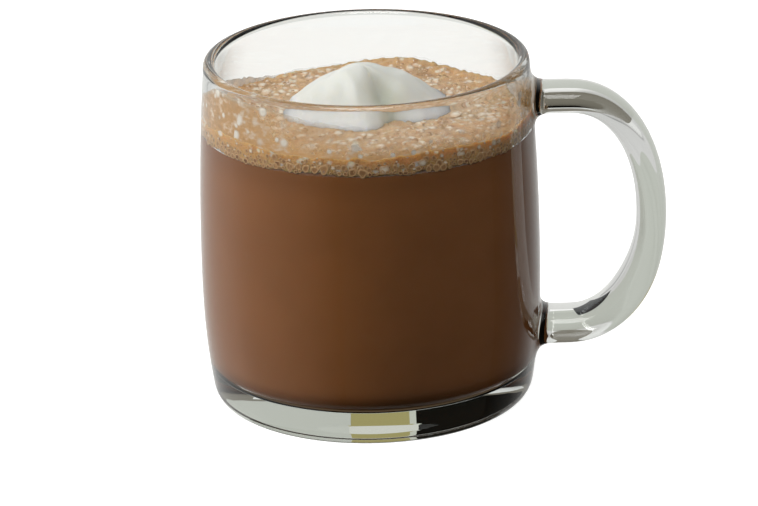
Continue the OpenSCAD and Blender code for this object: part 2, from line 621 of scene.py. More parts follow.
class Nodes:
    """A material's node tree, with short calls for the nodes that the finishes use."""

    def __init__(self, name: str) -> None:
        """Starts an empty material.

        Args:
            name: The material's name.
        """
        self.material = bpy.data.materials.new(name)
        self.material.use_nodes = True
        self.tree = self.material.node_tree
        self.tree.nodes.clear()
        self.output = self.tree.nodes.new("ShaderNodeOutputMaterial")

    def put(self, socket: Socket, value: object) -> None:
        """Links a socket to an input, or sets a plain value on it.

        Args:
            socket: The input socket.
            value: An output socket or a plain value.
        """
        if isinstance(value, Socket):
            self.tree.links.new(value, socket)
        elif isinstance(value, tuple) and len(value) == 3 and socket.type == "RGBA":
            socket.default_value = (*value, 1.0)
        else:
            socket.default_value = value

    def add(self, kind: str, **values: object) -> bpy.types.Node:
        """Adds a node.

        Args:
            kind: The node's type, without its ShaderNode prefix.
            values: Inputs by name, with _ for a space. A socket is linked, a value is set.

        Returns:
            The node.
        """
        node = self.tree.nodes.new(f"ShaderNode{kind}")
        for name, value in values.items():
            self.put(node.inputs[name.replace("_", " ")], value)
        return node

    def fill(self, kind: str, *values: object, action: str = "") -> bpy.types.Node:
        """Adds a node whose inputs are told apart by their order.

        Args:
            kind: The node's type, without its ShaderNode prefix.
            values: The inputs in order.
            action: What the node does, where it has a choice.

        Returns:
            The node.
        """
        node = self.add(kind)
        if action:
            node.operation = action
        for socket, value in zip(node.inputs, values):
            self.put(socket, value)
        return node

    def attribute(self, name: str) -> Socket:
        """The value of one of the piece's own attributes.

        Args:
            name: The attribute, RIM or TONE.

        Returns:
            The value socket.
        """
        node = self.add("Attribute")
        node.attribute_name = name
        return node.outputs["Fac"]

    def along(self, axis: str) -> Socket:
        """A point's place along one axis, in metres."""
        where = self.add("TexCoord").outputs["Object"]
        return self.add("SeparateXYZ", Vector=where).outputs[axis]

    def place(self, stretch: tuple[float, float, float] = (1, 1, 1)) -> Socket:
        """Object coordinates, stretched."""
        where = self.add("TexCoord").outputs["Object"]
        return self.add("Mapping", Vector=where, Scale=stretch).outputs["Vector"]

    def noise(self, scale: float, detail: float, rough: float = 0.5, where: Socket | None = None) -> Socket:
        """A noise pattern's value, about 0 to 1.

        Args:
            scale: Features per metre.
            detail: Octaves.
            rough: Share of the fine octaves.
            where: Coordinates, or object coordinates when left out.

        Returns:
            The value socket.
        """
        spot = where or self.place()
        node = self.add("TexNoise", Vector=spot, Scale=scale, Detail=detail, Roughness=rough)
        return node.outputs["Fac"]

    def skins(self, scale: float, where: Socket) -> Socket:
        """The distance to the nearest skin between bubbles.

        Args:
            scale: Bubbles per metre.
            where: Coordinates.

        Returns:
            The distance's socket.
        """
        node = self.add("TexVoronoi", Vector=where, Scale=scale)
        node.feature = "DISTANCE_TO_EDGE"
        return node.outputs["Distance"]

    def ramp(self, value: Socket, fade: Fade) -> Socket:
        """A smooth step of a value.

        Args:
            value: The value.
            fade: The step.

        Returns:
            The result's socket.
        """
        node = self.add("MapRange")
        node.interpolation_type = "SMOOTHSTEP"
        for name, setting in (("Value", value), ("From Min", fade.low), ("From Max", fade.high),
                              ("To Min", fade.start), ("To Max", fade.end)):
            self.put(node.inputs[name], setting)
        return node.outputs["Result"]

    def mottle(self, kind: Mottle, where: Socket | None = None) -> Socket:
        """How much soft blotches show, as they say themselves."""
        return self.ramp(self.noise(kind.scale, kind.detail, kind.rough, where), kind.fade)

    def spots(self, kind: RoundSpots, where: Socket) -> Socket:
        """How much round spots show.

        Args:
            kind: The spots.
            where: Coordinates.

        Returns:
            The share's socket.
        """
        cell = self.add("TexVoronoi", Vector=where, Scale=kind.scale)
        chosen = self.add("SeparateColor", Color=cell.outputs["Color"]).outputs[0]
        chosen = self.ramp(chosen, Fade(kind.kept, kind.kept + 0.1, kind.cover, 0.0))
        inside = self.ramp(cell.outputs["Distance"], Fade(kind.reach * kind.core, kind.reach, 1.0, 0.0))
        return self.math("MULTIPLY", chosen, inside)

    def math(self, action: str, first: object, second: object = 0.0) -> Socket:
        """A Math node's result."""
        return self.fill("Math", first, second, action=action).outputs[0]

    def blend(self, share: object, first: object, second: object) -> Socket:
        """A mix of two colours.

        Args:
            share: How much of the second.
            first: The first colour.
            second: The second colour.

        Returns:
            The colour socket.
        """
        node = self.add("Mix")
        node.data_type = "RGBA"
        for place, value in ((0, share), (6, first), (7, second)):
            self.put(node.inputs[place], value)
        return node.outputs[2]

    def bumps(self, height: Socket, depth: float, strength: float) -> Socket:
        """A bumped normal from a height between 0 and 1 and its depth in metres."""
        node = self.add("Bump", Height=height, Distance=depth, Strength=strength)
        return node.outputs["Normal"]

    def against_glass(self, shader: Socket) -> Socket:
        """What a wet surface looks like from inside glass: mirror-like at a flat angle.

        Args:
            shader: The surface's own shader.

        Returns:
            The shader socket.
        """
        share = self.add("Fresnel", IOR=WET_BY_GLASS).outputs[0]
        gloss = self.add("BsdfGlossy", Color=(1.0, 1.0, 1.0), Roughness=0.0).outputs[0]
        return self.fill("MixShader", share, shader, gloss).outputs[0]

    def finish(self, shader: Socket) -> bpy.types.Material:
        """Links the shader to the output and gives the material."""
        self.put(self.output.inputs["Surface"], shader)
        return self.material


WATER_IOR = 1.34
GLASS_IOR = 1.5
WET_BY_GLASS = WATER_IOR / GLASS_IOR


@dataclass(frozen=True)
class ClearGlass:
    """Clear pressed glass with a faint grey-green cast and soft waves in its skin."""

    tint: Colour = (0.983, 0.987, 0.980)
    waves: float = 60.0
    wave_depth: float = 0.05 * MM
    wave_strength: float = 0.35

    def material(self) -> bpy.types.Material:
        """The finish's material.

        Returns:
            The material, which lets light through to what is behind it.
        """
        n = Nodes("clear_glass")
        normal = n.bumps(n.noise(self.waves, 1.0), self.wave_depth, self.wave_strength)
        glass = n.add("BsdfGlass", Color=self.tint, Roughness=0.0, IOR=GLASS_IOR, Normal=normal)
        shadow = n.add("LightPath").outputs["Is Shadow Ray"]
        clear = n.add("BsdfTransparent", Color=self.tint)
        return n.finish(n.fill("MixShader", shadow, glass.outputs[0], clear.outputs[0]).outputs[0])


@dataclass(frozen=True)
class MilkyChocolate:
    """Hot chocolate against the glass: a smooth milky brown, with painted shade that darkens it under the
    foam.
    """

    body: Colour = (0.280, 0.105, 0.031)
    # The shade colour serves as painted shade under the foam and as the darker tone of the random clouds
    shade: Colour = (0.208, 0.077, 0.022)
    fleck: Colour = (0.34, 0.145, 0.052)
    # Painted shade: the colour darkens towards the shade colour just under the foam, where the foam shades
    # the drink
    under_foam: Fade = Fade(TOP.liquid_z - 9 * MM, TOP.liquid_z, 0.0, 0.75)
    clouds: Mottle = Mottle(70.0, 2.0, Fade(0.35, 0.7, 0.0, 0.25))
    grain: Mottle = Mottle(1500.0, 2.0, Fade(0.62, 0.78, 0.0, 0.22))
    roughness: float = 0.5
    glow: float = 0.25
    glow_depth: float = 2 * MM

    def material(self) -> bpy.types.Material:
        """The finish's material.

        Returns:
            The material.
        """
        n = Nodes("milky_chocolate")
        # Painted shade under the foam
        colour = n.blend(n.ramp(n.along("Z"), self.under_foam), self.body, self.shade)
        colour = n.blend(n.mottle(self.clouds), colour, self.shade)
        colour = n.blend(n.mottle(self.grain), colour, self.fleck)
        shader = n.add(
            "BsdfPrincipled", Base_Color=colour, Roughness=self.roughness,
            Subsurface_Weight=self.glow, Subsurface_Scale=self.glow_depth, Specular_IOR_Level=0.0,
        )
        return n.finish(n.against_glass(shader.outputs[0]))


@dataclass(frozen=True)
class Froth:
    """Milk foam: a net of fine bubbles, browner in its hollows, whiter in patches; its white spots are
    partly paler foam and partly painted glints.
    """

    name: str = "froth_top"
    light: Colour = (0.74, 0.50, 0.30)
    mid: Colour = (0.62, 0.37, 0.19)
    deep: Colour = (0.40, 0.185, 0.075)
    white: Colour = (0.90, 0.80, 0.66)
    low: Colour = (0.50, 0.25, 0.10)
    margin: Colour = (0.66, 0.38, 0.155)
    wet: bool = False
    stretch: tuple[float, float, float] = (1.0, 0.8, 1.0)
    warp: float = 350.0
    warp_reach: float = 1.4 * MM
    fine_net: float = 1300.0
    fine_skin: Fade = Fade(0.0, 0.22, 0.8, 0.0)
    big_net: float = 560.0
    big_skin: Fade = Fade(0.0, 0.14, 1.0, 0.0)
    net_share: float = 0.5
    patches: Mottle = Mottle(190.0, 4.0, Fade(0.36, 0.64), 0.6)
    lower_part: Fade = Fade(72.5 * MM, 76.8 * MM, 0.75, 0.0)
    near_glass: Fade = Fade(27 * MM, 41 * MM, 0.0, 0.8)
    hollows: Mottle = Mottle(420.0, 3.0, Fade(0.32, 0.48, 0.7, 0.0), 0.6)
    # White spots: partly paler foam, partly painted glints of light on wet bubbles
    blobs: tuple[RoundSpots, ...] = (
        RoundSpots(250.0, 0.34, 0.35, 0.45, 0.85), RoundSpots(420.0, 0.38, 0.35, 0.4, 0.85))
    skin_relief: float = 0.4
    relief: float = 900.0
    relief_depth: float = 0.35 * MM
    relief_strength: float = 0.5
    glow_radius: Colour = (1.0, 0.75, 0.5)
    glow_depth: float = 4 * MM

    def material(self) -> bpy.types.Material:
        """The finish's material.

        Returns:
            The material.
        """
        n = Nodes(self.name)
        where = n.place(self.stretch)
        bend = n.add("TexNoise", Vector=where, Scale=self.warp, Detail=2.0).outputs["Color"]
        reach = (self.warp_reach, self.warp_reach, self.warp_reach)
        spot = n.fill("VectorMath", bend, reach, where, action="MULTIPLY_ADD").outputs[0]
        fine = n.ramp(n.skins(self.fine_net, spot), self.fine_skin)
        skins = n.math("MAXIMUM", fine, n.ramp(n.skins(self.big_net, spot), self.big_skin))
        colour = n.blend(n.mottle(self.patches, where), self.mid, self.light)
        colour = n.blend(n.ramp(n.along("Z"), self.lower_part), colour, self.low)
        out = n.fill("VectorMath", n.place((1.0, 1.0, 0.0)), action="LENGTH").outputs["Value"]
        colour = n.blend(n.ramp(out, self.near_glass), colour, self.margin)
        colour = n.blend(n.mottle(self.hollows, spot), colour, self.deep)
        colour = n.blend(n.math("MULTIPLY", skins, self.net_share), colour, self.light)
        # Painted glints, partly paler foam
        for kind in self.blobs:
            colour = n.blend(n.spots(kind, spot), colour, self.white)
        raised = n.math("MULTIPLY", skins, self.skin_relief)
        raised = n.math("ADD", raised, n.noise(self.relief, 3.0, 0.6, spot))
        shader = n.add(
            "BsdfPrincipled", Base_Color=colour, Roughness=0.42, Subsurface_Weight=0.9,
            Subsurface_Radius=self.glow_radius, Subsurface_Scale=self.glow_depth,
            Specular_IOR_Level=0.0 if self.wet else 0.5,
            Normal=n.bumps(raised, self.relief_depth, self.relief_strength),
        ).outputs[0]
        return n.finish(n.against_glass(shader) if self.wet else shader)


@dataclass(frozen=True)
class BubbleSkin:
    """A foam bubble, coloured from its middle to its rim by its piece's own attributes."""

    name: str
    core: Colour
    rim: Colour
    dark: Colour = (0.11, 0.045, 0.015)
    edge: Fade = Fade(0.35, 0.8)
    roughness: float = 0.2
    inside: Fade = Fade(0.45, 0.75, 1.0, 0.0)
    grain: Mottle = Mottle(900.0, 2.0, Fade(0.35, 0.7, 0.0, 0.3))

    def material(self) -> bpy.types.Material:
        """The finish's material.

        Returns:
            The material.
        """
        n = Nodes(self.name)
        reach = n.attribute(RIM)
        colour = n.blend(n.ramp(reach, self.edge), self.core, self.rim)
        colour = n.blend(n.mottle(self.grain), colour, self.core)
        tone = n.math("MULTIPLY", n.ramp(reach, self.inside), n.attribute(TONE))
        colour = n.blend(tone, colour, self.dark)
        shader = n.add("BsdfPrincipled", Base_Color=colour, Roughness=self.roughness)
        return n.finish(shader.outputs[0])


@dataclass(frozen=True)
class WhippedCream:
    """Half-melted whipped cream: off-white with a faint cool cast, satin, softly pitted, with painted shade
    in its hollow and painted light towards its base.
    """

    white: Colour = (0.72, 0.735, 0.695)
    shade: Colour = (0.66, 0.68, 0.625)
    shade_share: float = 0.5
    # Painted shade: a darker, greener colour in the hollow beside the peak, where the cream faces away from
    # the key light
    hollow: Colour = (0.54, 0.565, 0.44)
    painted_shade_share: float = 0.8
    # Painted light: the cream is made paler towards its base, where its steep sides face away from the
    # lamps
    painted_light: Colour = (0.97, 0.965, 0.925)
    soft: Mottle = Mottle(110.0, 3.0, Fade(0.35, 0.7))
    painted_light_height: Fade = Fade(78.5 * MM, 82.5 * MM, 0.85, 0.0)
    folds: float = 260.0
    pits: float = 1600.0
    pit_share: float = 0.3
    relief_depth: float = 0.4 * MM
    relief_strength: float = 0.35
    glow_radius: Colour = (1.0, 0.9, 0.75)
    glow_depth: float = 6 * MM

    def material(self) -> bpy.types.Material:
        """The finish's material.

        Returns:
            The material.
        """
        n = Nodes("whipped_cream")
        share = n.math("MULTIPLY", n.mottle(self.soft), self.shade_share)
        colour = n.blend(share, self.white, self.shade)
        # Painted light towards the cream's base
        colour = n.blend(n.ramp(n.along("Z"), self.painted_light_height), colour, self.painted_light)
        # Painted shade in the hollow, read from the piece's rim attribute
        deep = n.math("MULTIPLY", n.attribute(RIM), self.painted_shade_share)
        colour = n.blend(deep, colour, self.hollow)
        pits = n.math("MULTIPLY", n.noise(self.pits, 2.0), self.pit_share)
        raised = n.math("ADD", n.noise(self.folds, 3.0), pits)
        shader = n.add(
            "BsdfPrincipled", Base_Color=colour, Roughness=0.5, Subsurface_Weight=0.9,
            Subsurface_Radius=self.glow_radius, Subsurface_Scale=self.glow_depth,
            Normal=n.bumps(raised, self.relief_depth, self.relief_strength),
        )
        return n.finish(shader.outputs[0])


@dataclass(frozen=True)
class MilkFilm:
    """A thin film of milk that the foam left on the glass."""

    pale: Colour = (0.95, 0.91, 0.84)
    tan: Colour = (0.62, 0.35, 0.14)
    front_tan: Colour = (0.92, 0.51, 0.19)
    grey: Colour = (0.50, 0.46, 0.38)
    white: Colour = (1.0, 0.93, 0.82)
    to_front: Fade = Fade(-34 * MM, -12 * MM)
    to_back: Fade = Fade(-8 * MM, 10 * MM)
    edge: Fade = Fade(0.86, 1.0, 0.0, 0.6)
    streaks: float = 260.0
    streak_white: Fade = Fade(0.5, 0.7, 0.0, 0.6)
    streak_cover: Fade = Fade(0.25, 0.7, 0.55, 1.0)
    # White bubble spots: partly pale milk, partly painted glints of bubbles at the glass
    bubbles: tuple[RoundSpots, ...] = (
        RoundSpots(220.0, 0.40, 0.4, 0.45, 1.0), RoundSpots(400.0, 0.36, 0.4, 0.45, 1.0))
    bubble_cover: Fade = Fade(0.06, 0.4, 0.0, 0.8)

    def material(self) -> bpy.types.Material:
        """The finish's material.

        Returns:
            The material, clear where the film is thin.
        """
        n = Nodes("milk_film")
        colour = n.blend(n.ramp(n.along("X"), self.to_front), self.tan, self.front_tan)
        colour = n.blend(n.ramp(n.along("Y"), self.to_back), colour, self.pale)
        colour = n.blend(n.ramp(n.attribute(RIM), self.edge), colour, self.grey)
        streaks = n.noise(self.streaks, 3.0, 0.6, n.place((1.0, 1.0, 1.6)))
        colour = n.blend(n.ramp(streaks, self.streak_white), colour, self.white)
        share = n.attribute(TONE)
        cover = n.math("MULTIPLY", share, n.ramp(streaks, self.streak_cover))
        # Painted glints on the film's bubbles, partly pale milk
        for kind in self.bubbles:
            bubble = n.spots(kind, n.place())
            colour = n.blend(bubble, colour, self.white)
            clear = n.math("MULTIPLY", bubble, n.ramp(share, self.bubble_cover))
            cover = n.math("MAXIMUM", cover, clear)
        shader = n.add("BsdfPrincipled", Base_Color=colour, Roughness=0.4, Alpha=cover)
        return n.finish(shader.outputs[0])


# ---- The pieces ----


@dataclass
class Ring:
    """One ring of the handle: its middle, turn and half sizes, and its gap to the wall."""

    middle: Vector
    tilt: float
    half_width: float
    half_height: float
    gap: float | None = None


@dataclass
class GlassMug:
    """The clear mug: a turned wall on a thick base, with a D-shaped handle drawn from it."""

    finish: ClearGlass = field(default_factory=ClearGlass)
    handle: HandleForm = field(default_factory=HandleForm)
    underside: tuple[float, ...] = (12 * MM, 23 * MM, 31 * MM, 35.2 * MM)
    floor: tuple[float, ...] = (31 * MM, 25 * MM, 14 * MM)
    above_heel: float = 7.0 * MM
    inner_foot: float = 20 * MM
    root_round: float = 3.0 * MM
    root_gaps: tuple[float, ...] = (0.4 * MM, 1.5 * MM, 3.0 * MM)
    root_fill: float = 0.97
    root_power: float = 0.75
    root_margin: float = 1.2
    patch_steps: int = 6
    patch_half: Pair = (7.5 * MM, 8.2 * MM)
    name: str = "mug_glass"

    def outline(self) -> Outline:
        """The mug's section.

        Returns:
            Rings from the middle of the underside, over the lip, to the middle of the floor.
        """
        heel_z = FORM.heel_round
        lean = FORM.lean(heel_z)
        touch = heel_z - FORM.heel_round * math.sin(math.radians(lean))
        heel_x = FORM.outer(touch) - FORM.heel_round * math.cos(math.radians(lean))
        corner_x, corner_z, corner_lean = FORM.corner()
        lip_x = FORM.lip_radius - FORM.wall / 2
        upper, lower = self.patch_half
        top, low = self.handle.upper_z, self.handle.low
        outer_z = [self.above_heel, *span(low - lower * 1.5, low + lower, 5)]
        outer_z += span(low + lower, top - upper, 8)
        outer_z += span(top - upper, top + upper, 4)
        inner_z = span(FORM.lip_z, self.inner_foot, 15)
        points = [(r, 0.0) for r in (POLE, *self.underside)]
        points += arc((heel_x, heel_z), FORM.heel_round, -90, -lean, 5)
        points += [(FORM.outer(z), z) for z in outer_z]
        points += arc((lip_x, FORM.lip_z), FORM.wall / 2, 0, 180, 6)
        points += [(FORM.cavity(z), z) for z in inner_z]
        points += arc((corner_x, corner_z), FORM.floor_round, -corner_lean, -90, 5)
        points += [(r, FORM.base) for r in (*self.floor, POLE)]
        return swollen(points)

    def open_root(self, piece: Piece, z: float, half: float) -> None:
        """Opens the wall where a handle bar grows from it, and rounds the opening.

        Args:
            piece: The mug in edit mode.
            z: Height of the bar's middle.
            half: Half the opening's height.
        """
        reach = FORM.belly_radius * math.sin(math.pi * self.patch_steps / SIDES)

        def in_patch(spot: Vector) -> bool:
            """Says whether a place is on the outer wall behind the bar."""
            outside = off_axis(spot) > FORM.cavity(spot.z) + FORM.wall / 2
            return outside and spot.x > 0 and abs(spot.y) < reach and abs(spot.z - z) < half

        select_faces(piece, in_patch)
        bpy.ops.mesh.delete(type="FACE")
        shape = bmesh.from_edit_mesh(piece.data)
        for point in shape.verts:
            if point.is_boundary and abs(point.co.z - z) < half * self.root_margin:
                turn = math.atan2((point.co.z - z) / half, point.co.y / reach)
                y = reach * self.root_fill * signed_power(math.cos(turn), self.root_power)
                up = half * self.root_fill * signed_power(math.sin(turn), self.root_power)
                wall = FORM.outer(z + up) * RING_SWELL
                point.co = Vector((math.sqrt(wall * wall - y * y), y, z + up))
        bmesh.update_edit_mesh(piece.data)

    def rings(self) -> list[Ring]:
        """The handle, ring by ring.

        Returns:
            The rings from the upper root round to the lower one.
        """
        form = self.handle
        swell = ring_swell(form.points)
        width = form.width / 2 * swell

        def root(z: float, tilt: float, half: float) -> list[Ring]:
            """The rings of a root, which flares towards the wall.

            Args:
                z: Height of the bar's middle.
                tilt: Turn of the rings in radians.
                half: Half the bar's thickness.

            Returns:
                The rings, from the wall to the bar.
            """
            rings = []
            for gap in self.root_gaps:
                share = 1.0 - gap / self.root_round
                flare = self.root_round * (1.0 - math.sqrt(1.0 - share * share))
                middle = Vector((FORM.outer(z) + gap, 0.0, z))
                rings.append(Ring(middle, tilt, width + flare, half + flare, gap))
            start = FORM.outer(z) + self.root_round
            bar = (start + form.middle(90.0).x) / 2
            return rings + [Ring(Vector((bar, 0.0, z)), tilt, width, half)]

        top = root(form.upper_z, 0.0, form.half(90.0) * swell)
        low = root(form.low, math.pi, form.half(-90.0) * swell)
        turns = [90.0 - 180.0 * i / form.steps for i in range(form.steps + 1)]
        loop = [Ring(form.middle(t), form.tilt(t), width, form.half(t) * swell) for t in turns]
        return top + loop + low[::-1]

    def fit_wall(self, piece: Piece, ring: Ring, curved: bool) -> None:
        """Lets the selected ring follow the wall's curve, or stands it straight again.

        Args:
            piece: The mug in edit mode.
            ring: The ring.
            curved: False to stand it straight.
        """
        shape = bmesh.from_edit_mesh(piece.data)
        for point in shape.verts:
            if point.select:
                wall = FORM.outer(point.co.z)
                bent = math.sqrt(wall * wall - point.co.y**2) + (ring.gap or 0.0)
                point.co.x = bent if curved else ring.middle.x
        bmesh.update_edit_mesh(piece.data)

    def draw_handle(self, piece: Piece) -> None:
        """Draws the handle out ring by ring and joins its two ends to the wall.

        Args:
            piece: The mug in edit mode.
        """
        rings = self.rings()
        first = rings[0]
        bpy.ops.mesh.select_all(action="DESELECT")
        bpy.ops.mesh.select_mode(type="VERT")
        bpy.ops.mesh.primitive_circle_add(
            vertices=self.handle.points, radius=1.0, location=first.middle, rotation=(0, math.pi / 2, 0)
        )
        bpy.ops.transform.resize(
            value=(1.0, first.half_width, first.half_height), center_override=first.middle
        )
        self.square_up(piece, first)
        self.fit_wall(piece, first, True)
        for before, ring in zip(rings, rings[1:]):
            step = ring.middle - before.middle
            bpy.ops.mesh.extrude_region_move(TRANSFORM_OT_translate={"value": step})
            if before.gap:
                self.fit_wall(piece, Ring(ring.middle, 0, 0, 0), False)
            turn_ring(before.tilt, ring.middle, back=True)
            grow = (1.0, ring.half_width / before.half_width, ring.half_height / before.half_height)
            bpy.ops.transform.resize(value=grow, center_override=ring.middle)
            turn_ring(ring.tilt, ring.middle)
            if ring.gap:
                self.fit_wall(piece, ring, True)
        for above in (True, False):
            self.bridge(piece, above)

    def square_up(self, piece: Piece, ring: Ring) -> None:
        """Fills the selected round ring out to the handle's slightly square oval.

        Args:
            piece: The mug in edit mode.
            ring: The ring.
        """
        power = 2.0 / self.handle.oval_power
        shape = bmesh.from_edit_mesh(piece.data)
        for point in shape.verts:
            if point.select:
                turn = math.atan2(
                    (point.co.z - ring.middle.z) / ring.half_height, point.co.y / ring.half_width
                )
                point.co.y = ring.half_width * signed_power(math.cos(turn), power)
                point.co.z = ring.middle.z + ring.half_height * signed_power(math.sin(turn), power)
        bmesh.update_edit_mesh(piece.data)

    def bridge(self, piece: Piece, above: bool) -> None:
        """Joins an end of the handle to its opening in the wall.

        Args:
            piece: The mug in edit mode.
            above: True for the upper end.
        """
        bpy.ops.mesh.select_all(action="DESELECT")
        bpy.ops.mesh.select_mode(type="EDGE")
        shape = bmesh.from_edit_mesh(piece.data)
        for edge in shape.edges:
            spot = (edge.verts[0].co + edge.verts[1].co) / 2
            edge.select = edge.is_boundary and (spot.z > self.handle.grip_height) == above
        bmesh.update_edit_mesh(piece.data)
        bpy.ops.mesh.bridge_edge_loops()

    def build(self) -> Piece:
        """Builds and dresses the mug.

        Returns:
            The finished piece.
        """
        piece = turned_piece(self.name, SIDES, self.outline())
        close_with_pole()
        cap_ring(piece, lambda spot: spot.z < 0.1 * MM and off_axis(spot) < 1.5 * POLE)
        self.open_root(piece, self.handle.upper_z, self.patch_half[0])
        self.open_root(piece, self.handle.low, self.patch_half[1])
        self.draw_handle(piece)
        face_outwards()
        done()
        subdivide(piece)
        move_points(piece, lambda spot: Vector((spot.x, spot.y, max(spot.z, 0.0))))
        smooth(piece)
        dress(piece, self.finish.material())
        return show_as(piece, ["mug"])


def turn_ring(tilt: float, middle: Vector, back: bool = False) -> None:
    """Turns the selection about +Y through a point, or back again.

    Args:
        tilt: The turn in radians.
        middle: The point.
        back: True to undo the turn.
    """
    if tilt:
        # The operator turns the other way when no window is open
        value = tilt if back else -tilt
        bpy.ops.transform.rotate(value=value, orient_axis="Y", center_override=middle)


@dataclass
class Drink:
    """The hot chocolate, which reaches just into the wall so that no gap shows."""

    finish: MilkyChocolate = field(default_factory=MilkyChocolate)
    bite: float = 0.12 * MM
    rise: float = 1.4 * MM
    floor_rings: tuple[float, ...] = (POLE, 14 * MM, 25 * MM, 31 * MM)
    wall_foot: float = 16 * MM
    top_rings: tuple[float, ...] = (37 * MM, 20 * MM, POLE)
    name: str = "chocolate_drink"

    def build(self) -> Piece:
        """Builds and dresses the drink.

        Returns:
            The finished piece.
        """
        corner_x, corner_z, lean = FORM.corner()
        floor = FORM.base - self.bite
        top = TOP.liquid_z + self.rise
        points = [(r, floor) for r in self.floor_rings]
        points += arc((corner_x, corner_z), FORM.floor_round + self.bite, -90, -lean, 5)
        points += [(FORM.cavity(z) + self.bite, z) for z in span(self.wall_foot, top, 14)]
        points += [(r, top) for r in self.top_rings]
        piece = turned_piece(self.name, SIDES, swollen(points))
        close_up(piece, lambda spot: spot.z < floor + 0.1 * MM and off_axis(spot) < 1.5 * POLE)
        smooth(piece)
        dress(piece, self.finish.material())
        return show_as(piece, ["chocolate"])


@dataclass
class FoamLayer:
    """The milk foam: a frothy top, and a face against the glass with a scalloped lower edge."""

    top_finish: Froth = field(default_factory=Froth)
    wall_finish: Froth = field(default_factory=lambda: Froth(
        name="froth_wall", wet=True, stretch=(1.0, 1.0, 1.2), light=(0.78, 0.455, 0.20),
        mid=(0.68, 0.365, 0.135), margin=(0.68, 0.365, 0.135)))
    bite: float = 0.20 * MM
    sides: int = 120
    can_radius: float = 40.0 * MM
    can_height: float = 6.0 * MM
    under_rings: tuple[float, ...] = (0.985, 0.8, 0.4)
    wall_share: float = 0.992
    wall_slope: float = 0.75
    drop: float = 0.3 * MM
    scallop: float = 0.8 * MM
    meniscus: float = 0.5 * MM
    # Froth, in millimetres: slow swells, the height and size of its bubbles, and its mean
    swells: Pair = (0.4, 0.3)
    bubble_heights: Pair = (0.9, 0.35)
    bubble_sizes: Pair = (0.62, 0.6)
    froth_mean: float = 0.15
    name: str = "foam_layer"

    def lower_edge(self, angle: float) -> float:
        """Height of the foam's lower edge on the glass.

        Args:
            angle: The place's angle in degrees.

        Returns:
            The height.
        """
        a = math.radians(angle)
        slow = 0.35 * math.sin(3 * a + 1.0) + 0.25 * math.sin(7 * a + 2.2)
        fast = noise.noise(Vector((9 * math.cos(a), 9 * math.sin(a), 3.7)))
        fine = noise.noise(Vector((26 * math.cos(a), 26 * math.sin(a), 8.1)))
        return TOP.liquid_z - self.drop + self.scallop * (0.5 * slow + 0.9 * fast + 0.6 * fine)

    def wall_top(self, angle: float) -> float:
        """Height of the foam's upper edge on the glass, at an angle in degrees."""
        reach = FORM.cavity(TOP.foam_z)
        return TOP.foam(reach, angle) + self.froth(polar(reach, angle, 0.0)) + self.meniscus

    def froth(self, spot: Vector) -> float:
        """Height of the froth's bubbles and hollows.

        Args:
            spot: A place on the foam.

        Returns:
            The height over the smooth surface.
        """
        flat = Vector((spot.x, spot.y, 0.0)) / MM
        wide = noise.noise(flat * 0.2 + Vector((3, 7, 1)))
        mid = noise.noise(flat * 0.6 + Vector((11, 2, 5)))
        cell = noise.voronoi(flat * 0.5)[0][0]
        small = noise.voronoi(flat * 1.1 + Vector((4, 4, 4)))[0][0]
        big_high, small_high = self.bubble_heights
        big_size, small_size = self.bubble_sizes
        bubbles = big_high * max(0.0, big_size - cell) + small_high * max(0.0, small_size - small)
        return MM * (self.swells[0] * wide + self.swells[1] * mid + bubbles - self.froth_mean)

    def shape(self, spot: Vector) -> Vector:
        """Lays a point of the plain can onto the uneven surface, or onto the wall.

        Args:
            spot: The point on the can.

        Returns:
            Its place on the foam.
        """
        angle = azimuth(spot)
        share = off_axis(spot) / self.can_radius
        lift = (spot.z - (TOP.foam_z - self.can_height)) / self.can_height
        wall_r = FORM.cavity(TOP.foam_z)
        flat = polar(share * wall_r, angle, 0.0)
        top = TOP.foam(share * wall_r, angle) + self.froth(flat) + self.meniscus * share**16
        low = self.lower_edge(angle)
        z = low + (top - low) * min(max(lift, 0.0), 1.0)
        return polar(share * (FORM.cavity(z) + self.bite), angle, z)

    def build(self) -> Piece:
        """Builds and dresses the foam.

        Returns:
            The finished piece.
        """
        top, low, edge = TOP.foam_z, TOP.foam_z - self.can_height, self.can_radius
        points = [(POLE, top)] + [(r, top) for r in span(POLE, edge * 0.99, 11)]
        points += [(edge, top - 0.2 * MM)]
        points += [(edge, z) for z in span(top, low, 6)]
        points += [(edge * share, low) for share in self.under_rings] + [(POLE, low)]
        piece = turned_piece(self.name, self.sides, points)
        close_up(piece, lambda spot: spot.z > top - 0.1 * MM and off_axis(spot) < 1.5 * POLE)
        self.paint_sides(piece)
        move_points(piece, self.shape)
        smooth(piece)
        return show_as(piece, ["foam"])

    def paint_sides(self, piece: Piece) -> None:
        """Dresses the foam, with a finish of its own on the face against the glass.

        Args:
            piece: The plain can.
        """
        dress(piece, self.top_finish.material(), self.wall_finish.material())
        for face in piece.data.polygons:
            on_wall = off_axis(face.center) > self.can_radius * self.wall_share
            face.material_index = 1 if on_wall and abs(face.normal.z) < self.wall_slope else 0


